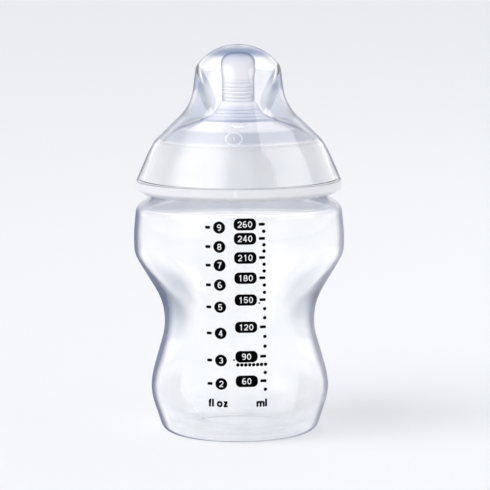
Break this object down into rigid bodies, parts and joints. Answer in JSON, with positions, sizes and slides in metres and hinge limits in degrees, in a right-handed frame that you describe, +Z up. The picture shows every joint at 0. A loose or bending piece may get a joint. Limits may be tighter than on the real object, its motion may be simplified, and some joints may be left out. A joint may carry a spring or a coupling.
{
  "type": "baby bottle",
  "caption": "Clear wide-neck baby bottle with a pinched waist and printed scales, silicone teat, screw ring and clear hood.",
  "frame": {"origin": "middle of the bottle's foot, on the surface it stands on", "axes": "+Z up along the bottle's axis, -Y towards the printed scales, +X to the viewer's right"},
  "size_m": [0.0776, 0.0777, 0.1434],
  "materials": {
    "clear_plastic": "clear moulded plastic",
    "milky_plastic": "milky translucent plastic",
    "silicone": "translucent silicone",
    "hood_plastic": "clear glossy plastic",
    "scale_ink": "printed ink"
  },
  "bodies": {
    "bottle": {"bottle": "clear_plastic", "ml_scale_print": "scale_ink", "fl_oz_scale_print": "scale_ink"},
    "teat": {"teat": "silicone"},
    "screw_ring": {"screw_ring": "milky_plastic"},
    "hood": {"hood": "hood_plastic"}
  },
  "joints": [
    {"name": "teat_lift", "type": "slide", "parent": "bottle", "child": "teat", "axis": [0, 0, 1], "range_m": [0, 0.0054]},
    {"name": "ring_turn", "type": "hinge", "parent": "teat", "child": "screw_ring", "pos_m": [0, 0, 0.0951], "axis": [0, 0, 1], "range_deg": [0, 480]},
    {"name": "hood_lift", "type": "slide", "parent": "screw_ring", "child": "hood", "axis": [0, 0, 1], "range_m": [0, 0.055]}
  ],
  "couplings": [
    {"joint": "teat_lift", "follows": "ring_turn", "m_per_rad": 0.00063662}
  ]
}
